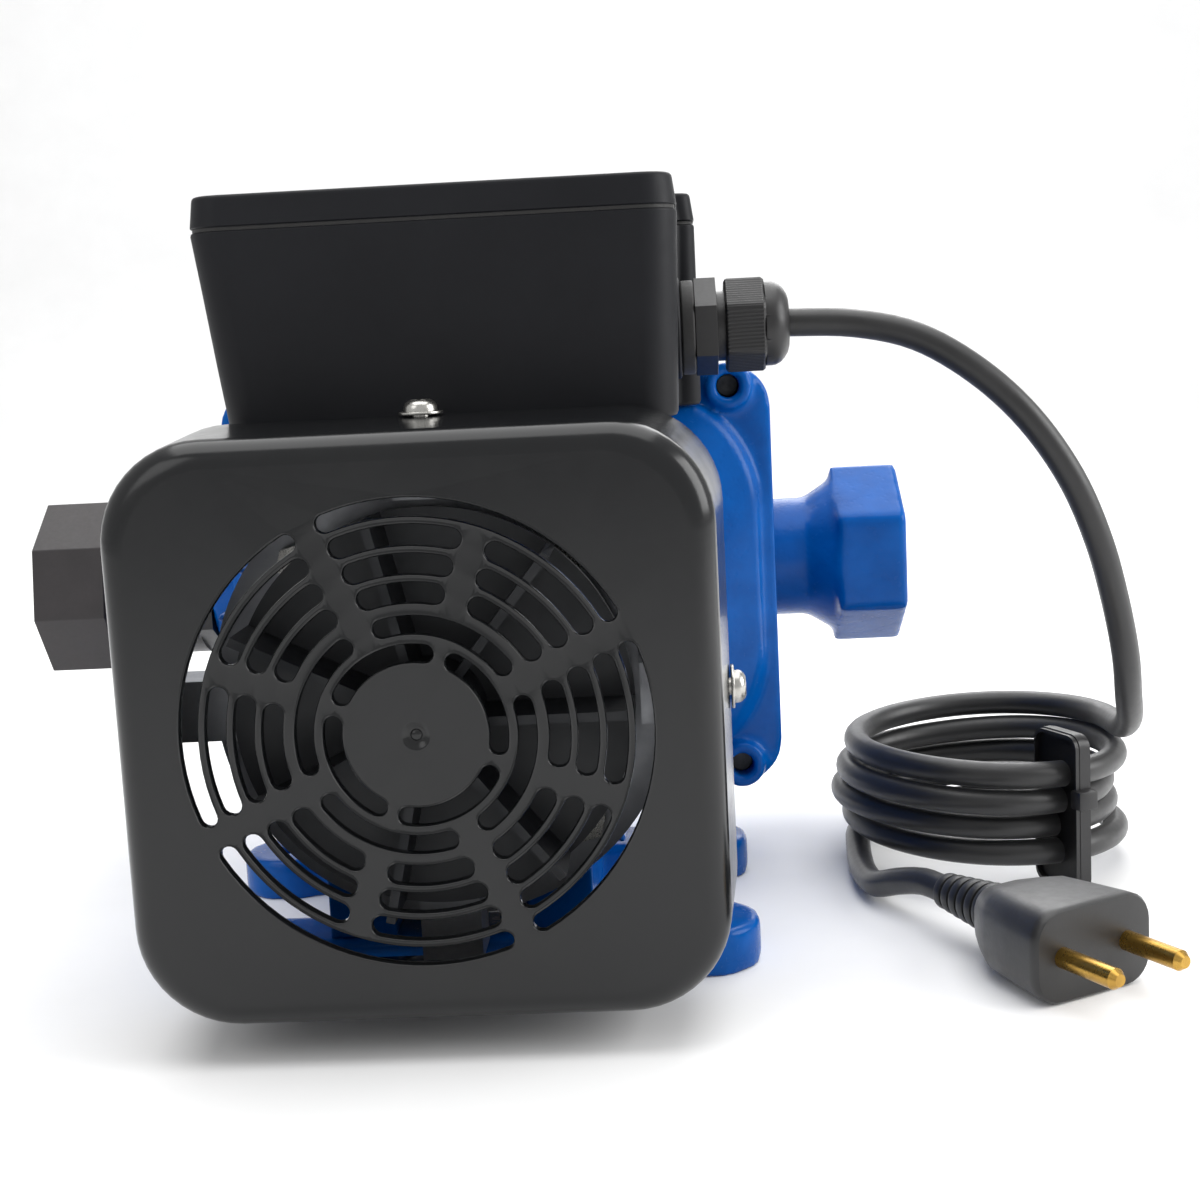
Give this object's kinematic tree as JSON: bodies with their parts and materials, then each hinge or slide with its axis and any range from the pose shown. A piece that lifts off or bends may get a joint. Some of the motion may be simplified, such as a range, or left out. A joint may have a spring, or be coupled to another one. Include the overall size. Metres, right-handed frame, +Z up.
{
  "type": "pool pump",
  "caption": "Inline pool booster pump: square grilled fan cover, blue cast pump end with two ports in line, black flow switch and union, terminal box, cable gland and coiled mains lead.",
  "frame": {"origin": "middle of the four foot holes, on the floor that the feet stand on", "axes": "+X along the two ports towards the suction port, +Y along the shaft from the fan to the pump end, +Z up"},
  "size_m": [0.317, 0.1999, 0.1875],
  "materials": {
    "cover_black": "glossy moulded ABS",
    "box_black": "satin moulded plastic with a fine grain",
    "black_nylon": "satin glass-filled nylon",
    "blue_paint": "glossy blue paint on cast metal",
    "zinc_steel": "bright zinc plate",
    "spring_steel": "dark spring steel",
    "stainless": "ground stainless steel",
    "bearing_steel": "ground bearing steel",
    "lamination_steel": "stacked electrical steel",
    "cast_aluminium": "die-cast aluminium",
    "copper_enamel": "enamelled copper wire",
    "brass": "turned brass",
    "fan_grey": "grey polypropylene",
    "cream_plastic": "cream moulded plastic",
    "seal_ceramic": "lapped ceramic",
    "black_rubber": "moulded rubber",
    "cord_rubber": "rubber-sheathed cable"
  },
  "bodies": {
    "root": {"fan_cover": "cover_black", "cover_screws": "zinc_steel", "cover_washers": "zinc_steel", "rear_end_shield": "cast_aluminium", "motor_frame": "blue_paint", "stator_core": "lamination_steel", "stator_windings": "copper_enamel", "rear_bearing": "bearing_steel", "front_bearing": "bearing_steel", "motor_bracket": "blue_paint", "tie_bolts": "zinc_steel", "base_cradle": "blue_paint", "cradle_bolts": "zinc_steel", "terminal_box": "box_black", "box_lid": "box_black", "lid_gasket": "black_rubber", "lid_screws": "zinc_steel", "run_capacitor": "cream_plastic", "terminal_block": "cream_plastic", "earth_screw": "brass", "gland_body": "black_nylon", "gland_washer": "black_rubber", "gland_lock_nut": "black_nylon", "gland_nut": "black_nylon", "gland_insert": "black_rubber", "pump_casing": "blue_paint", "casing_gasket": "black_rubber", "casing_bolts": "zinc_steel", "seal_seat": "seal_ceramic", "flow_switch_body": "black_nylon", "flap_pin": "stainless", "reed_switch": "black_nylon", "union_washer": "black_rubber", "power_cord": "cord_rubber", "cord_coil": "cord_rubber", "cord_tail": "cord_rubber", "cable_tie": "black_nylon", "plug_relief": "cord_rubber", "plug_body": "cord_rubber", "plug_pins": "brass"},
    "rotor": {"cooling_fan": "fan_grey", "fan_clip": "spring_steel", "shaft": "stainless", "rotor_core": "lamination_steel", "impeller": "brass", "impeller_nut": "stainless", "seal_rotary": "black_rubber"},
    "flap": {"flow_flap": "cream_plastic"},
    "nut": {"union_nut": "black_nylon"}
  },
  "joints": [
    {"name": "rotor_spin", "type": "hinge", "parent": "root", "child": "rotor", "pos_m": [0, 0, 0.072], "axis": [0, 1, 0], "continuous": true},
    {"name": "flap_swing", "type": "hinge", "parent": "root", "child": "flap", "pos_m": [-0.096, 0.077, 0.096], "axis": [0, 1, 0], "range_deg": [0, 40]},
    {"name": "union_nut_turn", "type": "hinge", "parent": "root", "child": "nut", "pos_m": [-0.12, 0.077, 0.084], "axis": [1, 0, 0], "continuous": true}
  ]
}
